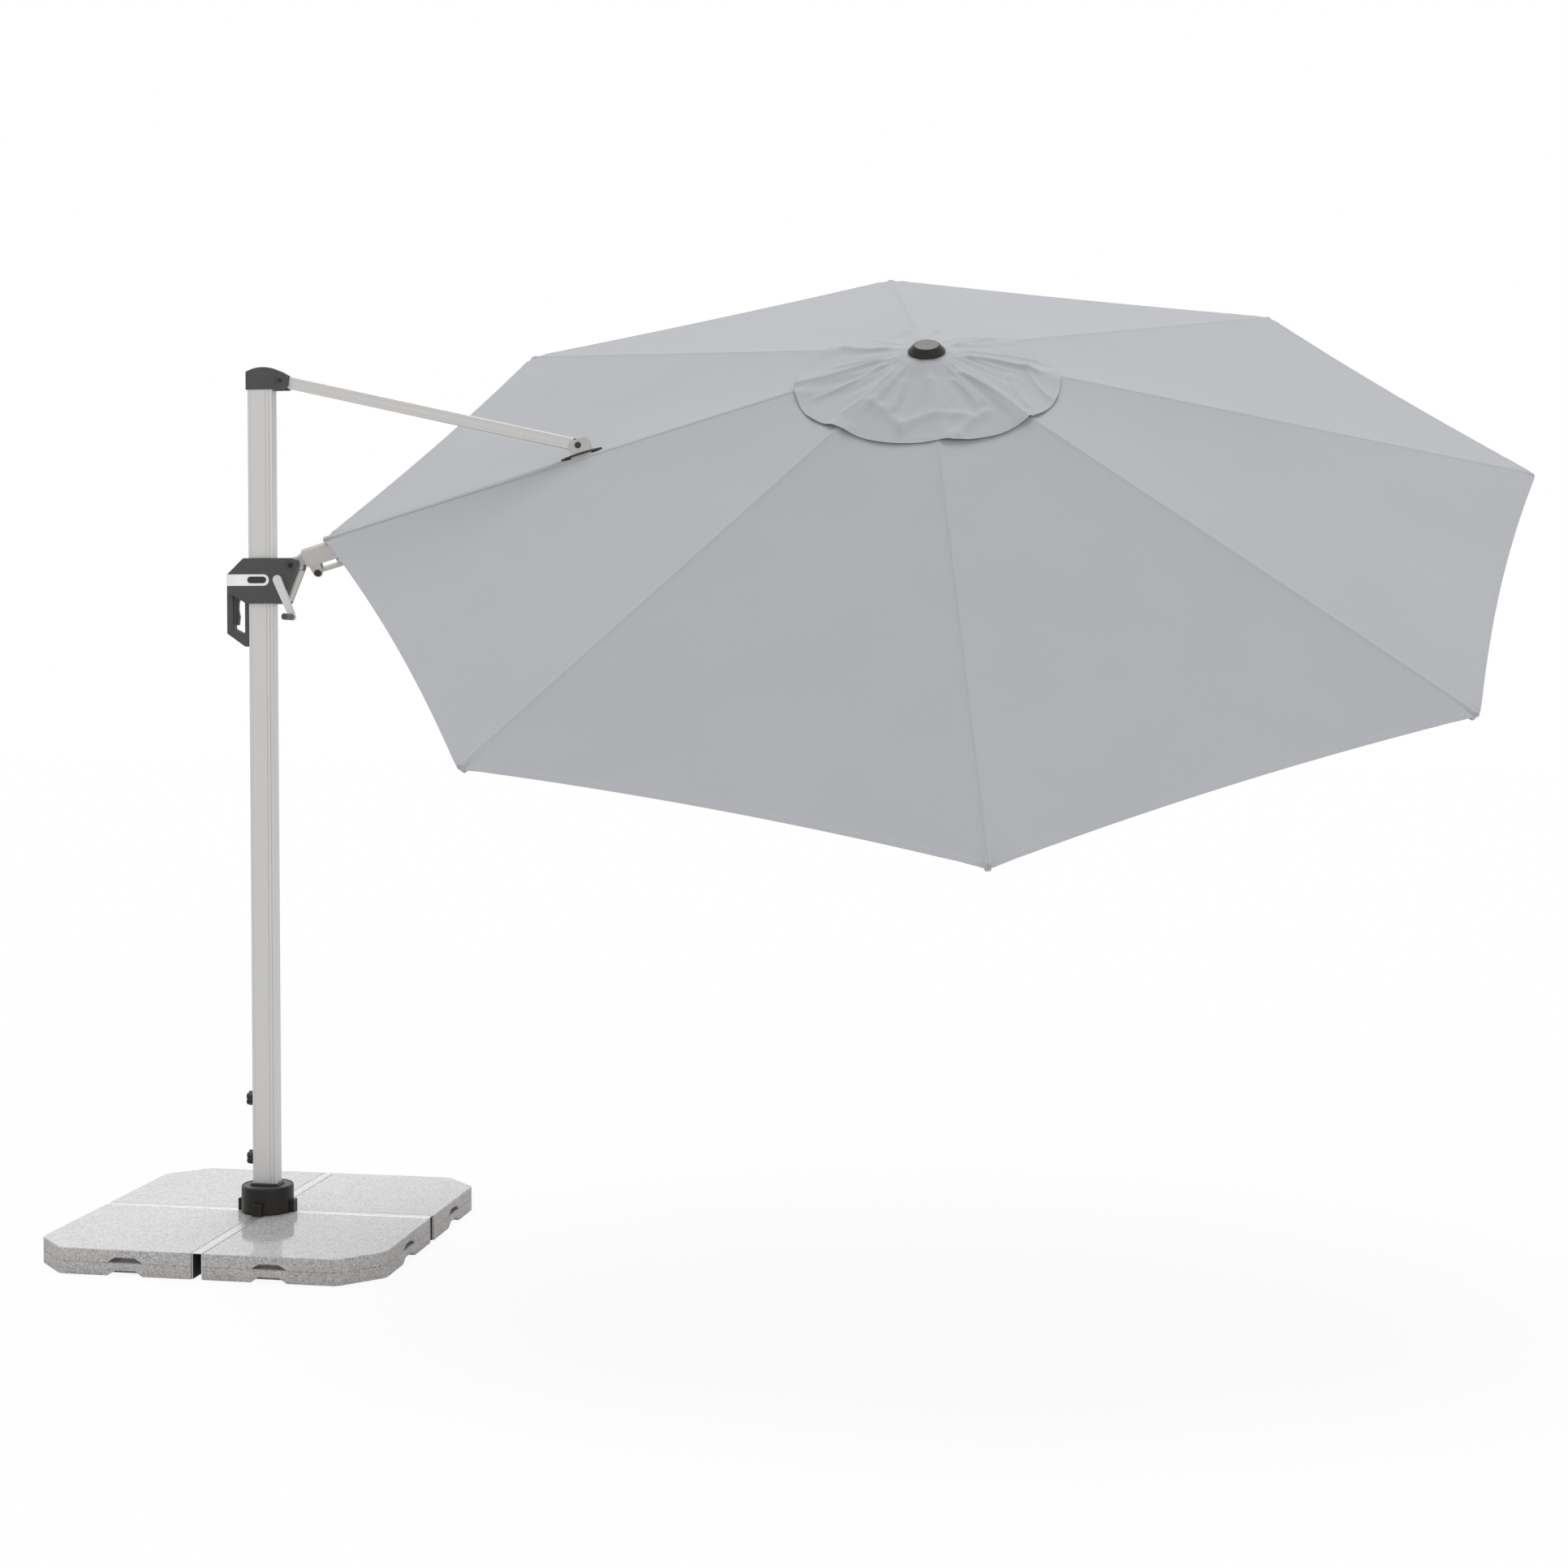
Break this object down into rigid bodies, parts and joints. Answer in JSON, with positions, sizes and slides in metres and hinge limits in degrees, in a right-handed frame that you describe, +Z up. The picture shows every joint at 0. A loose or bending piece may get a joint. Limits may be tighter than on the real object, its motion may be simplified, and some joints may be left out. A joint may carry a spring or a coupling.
{
  "type": "cantilever parasol",
  "caption": "Side-post parasol: slab base, turning mast, strut and sliding carrier arm holding an octagonal folding canopy, rolled to one side.",
  "frame": {"origin": "on the ground under the centre of the base cross, on the mast's turning axis", "axes": "+Z up, +X from the mast towards the canopy, +Y away from the crank's side"},
  "size_m": [4.154, 2.9246, 3.0675],
  "materials": {
    "granite": "polished top, rough sides",
    "galvanised_steel": "satin",
    "black_plastic": "satin",
    "charcoal_plastic": "satin",
    "white_plastic": "satin",
    "silver_aluminium": "anodised, satin",
    "grey_casting": "powder coated, satin",
    "canopy_cloth": "matte"
  },
  "bodies": {
    "base": {"lower_slabs": "granite", "upper_slabs": "granite", "cross_frame": "galvanised_steel", "base_spindle": "galvanised_steel", "swivel_housing": "black_plastic"},
    "mast": {"swivel_disc": "black_plastic", "mast_tube": "silver_aluminium", "foot_insert": "black_plastic", "mast_cap": "charcoal_plastic", "cap_pin": "galvanised_steel"},
    "lower_clamp": {"lower_clamp_knob": "black_plastic"},
    "upper_clamp": {"upper_clamp_knob": "black_plastic"},
    "strut": {"strut_bar": "silver_aluminium", "strut_ends": "black_plastic"},
    "slider": {"housing_front": "charcoal_plastic", "housing_rear": "charcoal_plastic", "slider_frame": "silver_aluminium", "glide_pads": "white_plastic", "pivot_pin": "black_plastic", "stripe": "white_plastic", "front_strip": "grey_casting"},
    "crank": {"crank_arm": "grey_casting", "crank_shaft": "galvanised_steel"},
    "crank_grip": {"crank_knob": "charcoal_plastic"},
    "release_lever": {"grip_lever": "black_plastic"},
    "neck": {"neck_head": "grey_casting", "neck_spindle": "grey_casting"},
    "carrier": {"carrier_casting": "grey_casting", "tilt_lever_pin": "black_plastic", "carrier_tube": "silver_aluminium", "carrier_end": "grey_casting", "canopy_panel_0": "canopy_cloth"},
    "tilt_release": {"tilt_lever": "grey_casting"},
    "collar": {"strut_bracket": "grey_casting", "bracket_pin": "black_plastic", "slit_flange": "black_plastic"},
    "crown": {"crown_hub": "black_plastic", "finial": "charcoal_plastic"},
    "hub": {"lower_hub": "black_plastic"},
    "rib_arm_1": {"rib_1": "silver_aluminium", "canopy_panel_1": "canopy_cloth"},
    "stay_1": {"stretcher_1": "silver_aluminium"},
    "rib_arm_2": {"rib_2": "silver_aluminium", "canopy_panel_2": "canopy_cloth"},
    "stay_2": {"stretcher_2": "silver_aluminium"},
    "rib_arm_3": {"rib_3": "silver_aluminium", "canopy_panel_3": "canopy_cloth"},
    "stay_3": {"stretcher_3": "silver_aluminium"},
    "rib_arm_4": {"rib_4": "silver_aluminium", "canopy_panel_4": "canopy_cloth"},
    "stay_4": {"stretcher_4": "silver_aluminium"},
    "rib_arm_5": {"rib_5": "silver_aluminium", "canopy_panel_5": "canopy_cloth"},
    "stay_5": {"stretcher_5": "silver_aluminium"},
    "rib_arm_6": {"rib_6": "silver_aluminium", "canopy_panel_6": "canopy_cloth"},
    "stay_6": {"stretcher_6": "silver_aluminium"},
    "rib_arm_7": {"rib_7": "silver_aluminium", "canopy_panel_7": "canopy_cloth"},
    "stay_7": {"stretcher_7": "silver_aluminium"}
  },
  "joints": [
    {"name": "mast_rotation", "type": "hinge", "parent": "base", "child": "mast", "pos_m": [0, 0, 0.155], "axis": [0, 0, 1], "continuous": true},
    {"name": "lower_clamp_screw", "type": "hinge", "parent": "mast", "child": "lower_clamp", "pos_m": [-0.048, 0, 0.229], "axis": [-1, 0, 0], "continuous": true},
    {"name": "upper_clamp_screw", "type": "hinge", "parent": "mast", "child": "upper_clamp", "pos_m": [-0.048, 0, 0.404], "axis": [-1, 0, 0], "continuous": true},
    {"name": "strut_swing", "type": "hinge", "parent": "mast", "child": "strut", "pos_m": [0.062, 0, 2.503], "axis": [0, -1, 0], "range_deg": [-10.4, 6.4]},
    {"name": "slider_travel", "type": "slide", "parent": "mast", "child": "slider", "axis": [0, 0, 1], "range_m": [-0.25, 0.15]},
    {"name": "arm_tilt", "type": "hinge", "parent": "slider", "child": "neck", "pos_m": [0.096, 0, 1.969], "axis": [0, -1, 0], "range_deg": [-4.4, 7]},
    {"name": "side_tilt", "type": "hinge", "parent": "neck", "child": "carrier", "pos_m": [0.09248, 0, 1.981], "axis": [0.9596, 0, 0.2813], "range_deg": [-66.7, 0], "deforming": ["canopy_panel_0"]},
    {"name": "collar_turn", "type": "hinge", "parent": "carrier", "child": "collar", "pos_m": [0.96669, 0, 2.23729], "axis": [0.9596, 0, 0.2813], "range_deg": [-0.5, 67.2]},
    {"name": "tilt_lever_swing", "type": "hinge", "parent": "carrier", "child": "tilt_release", "pos_m": [0.15797, 0.02749, 1.95667], "axis": [-0.1547, 0.8353, 0.5275], "range_deg": [0, 8], "stiffness_Nm_per_rad": 1.5, "springref_deg": -8.59},
    {"name": "grip_lever_swing", "type": "hinge", "parent": "slider", "child": "release_lever", "pos_m": [-0.074, 0, 1.902], "axis": [0, 1, 0], "range_deg": [0, 2.4], "stiffness_Nm_per_rad": 1, "springref_deg": -5.73},
    {"name": "crank_turn", "type": "hinge", "parent": "slider", "child": "crank", "pos_m": [0.06, -0.0442, 1.927], "axis": [0, -1, 0], "range_deg": [0, 3600]},
    {"name": "crank_grip_spin", "type": "hinge", "parent": "crank", "child": "crank_grip", "pos_m": [0.10553, -0.0797, 1.81868], "axis": [0, -1, 0], "continuous": true},
    {"name": "canopy_fold", "type": "hinge", "parent": "carrier", "child": "crown", "pos_m": [1.89625, -0.01567, 2.53463], "axis": [-0.1547, 0.8353, 0.5275], "range_deg": [0, 69.4], "deforming": ["canopy_panel_0", "canopy_panel_1", "canopy_panel_2", "canopy_panel_3", "canopy_panel_4", "canopy_panel_5", "canopy_panel_6", "canopy_panel_7"]},
    {"name": "rib_1_fold", "type": "hinge", "parent": "crown", "child": "rib_arm_1", "pos_m": [1.9123, -0.03771, 2.52027], "axis": [0.8076, -0.4863, -0.3335], "range_deg": [-0.3, 69.7]},
    {"name": "stay_1_fold", "type": "hinge", "parent": "rib_arm_1", "child": "stay_1", "pos_m": [1.55539, -0.36467, 2.13282], "axis": [0.8076, -0.4863, -0.3335], "range_deg": [-139.4, 0.6]},
    {"name": "rib_2_fold", "type": "hinge", "parent": "crown", "child": "rib_arm_2", "pos_m": [1.94223, -0.04336, 2.51564], "axis": [0.9875, 0.1476, 0.0559], "range_deg": [-0.3, 69.7]},
    {"name": "stay_2_fold", "type": "hinge", "parent": "rib_arm_2", "child": "stay_2", "pos_m": [2.02942, -0.45413, 2.05949], "axis": [0.9875, 0.1476, 0.0559], "range_deg": [-139.4, 0.6]},
    {"name": "rib_3_fold", "type": "hinge", "parent": "crown", "child": "rib_arm_3", "pos_m": [1.96852, -0.02931, 2.52345], "axis": [0.5889, 0.695, 0.4125], "range_deg": [-0.3, 69.7]},
    {"name": "stay_3_fold", "type": "hinge", "parent": "rib_arm_3", "child": "stay_3", "pos_m": [2.44568, -0.23163, 2.18317], "axis": [0.5889, 0.695, 0.4125], "range_deg": [-139.4, 0.6]},
    {"name": "rib_4_fold", "type": "hinge", "parent": "crown", "child": "rib_arm_4", "pos_m": [1.97576, -0.00379, 2.53913], "axis": [-0.1547, 0.8353, 0.5275], "range_deg": [-0.3, 69.7]},
    {"name": "stay_4_fold", "type": "hinge", "parent": "rib_arm_4", "child": "stay_4", "pos_m": [2.56034, 0.17248, 2.43141], "axis": [-0.1547, 0.8353, 0.5275], "range_deg": [-139.4, 0.6]},
    {"name": "rib_5_fold", "type": "hinge", "parent": "crown", "child": "rib_arm_5", "pos_m": [1.95971, 0.01826, 2.55349], "axis": [-0.8076, 0.4863, 0.3335], "range_deg": [-0.3, 69.7]},
    {"name": "stay_5_fold", "type": "hinge", "parent": "rib_arm_5", "child": "stay_5", "pos_m": [2.30623, 0.52148, 2.6588], "axis": [-0.8076, 0.4863, 0.3335], "range_deg": [-139.4, 0.6]},
    {"name": "rib_6_fold", "type": "hinge", "parent": "crown", "child": "rib_arm_6", "pos_m": [1.92978, 0.02391, 2.55812], "axis": [-0.9875, -0.1476, -0.0559], "range_deg": [-0.3, 69.7]},
    {"name": "stay_6_fold", "type": "hinge", "parent": "rib_arm_6", "child": "stay_6", "pos_m": [1.83221, 0.61093, 2.73212], "axis": [-0.9875, -0.1476, -0.0559], "range_deg": [-139.4, 0.6]},
    {"name": "rib_7_fold", "type": "hinge", "parent": "crown", "child": "rib_arm_7", "pos_m": [1.90349, 0.00985, 2.55031], "axis": [-0.5889, -0.695, -0.4125], "range_deg": [-0.3, 69.7]},
    {"name": "stay_7_fold", "type": "hinge", "parent": "rib_arm_7", "child": "stay_7", "pos_m": [1.41595, 0.38844, 2.60844], "axis": [-0.5889, -0.695, -0.4125], "range_deg": [-139.4, 0.6]},
    {"name": "hub_slide_turn", "type": "hinge", "parent": "stay_4", "child": "hub", "pos_m": [1.96538, 0.17248, 2.25699], "axis": [-0.1547, 0.8353, 0.5275], "range_deg": [-0.3, 69.7]}
  ],
  "couplings": [
    {"joint": "rib_1_fold", "follows": "canopy_fold", "ratio": 1},
    {"joint": "stay_1_fold", "follows": "canopy_fold", "ratio": -2},
    {"joint": "rib_2_fold", "follows": "canopy_fold", "ratio": 1},
    {"joint": "stay_2_fold", "follows": "canopy_fold", "ratio": -2},
    {"joint": "rib_3_fold", "follows": "canopy_fold", "ratio": 1},
    {"joint": "stay_3_fold", "follows": "canopy_fold", "ratio": -2},
    {"joint": "rib_4_fold", "follows": "canopy_fold", "ratio": 1},
    {"joint": "stay_4_fold", "follows": "canopy_fold", "ratio": -2},
    {"joint": "rib_5_fold", "follows": "canopy_fold", "ratio": 1},
    {"joint": "stay_5_fold", "follows": "canopy_fold", "ratio": -2},
    {"joint": "rib_6_fold", "follows": "canopy_fold", "ratio": 1},
    {"joint": "stay_6_fold", "follows": "canopy_fold", "ratio": -2},
    {"joint": "rib_7_fold", "follows": "canopy_fold", "ratio": 1},
    {"joint": "stay_7_fold", "follows": "canopy_fold", "ratio": -2},
    {"joint": "hub_slide_turn", "follows": "canopy_fold", "ratio": 1},
    {"joint": "crank_turn", "follows": "canopy_fold", "ratio": 51.729},
    {"joint": "strut_swing", "follows": "slider_travel", "rad_per_m": 0.6955},
    {"joint": "arm_tilt", "follows": "slider_travel", "rad_per_m": -0.4594},
    {"joint": "collar_turn", "follows": "side_tilt", "ratio": -1}
  ]
}
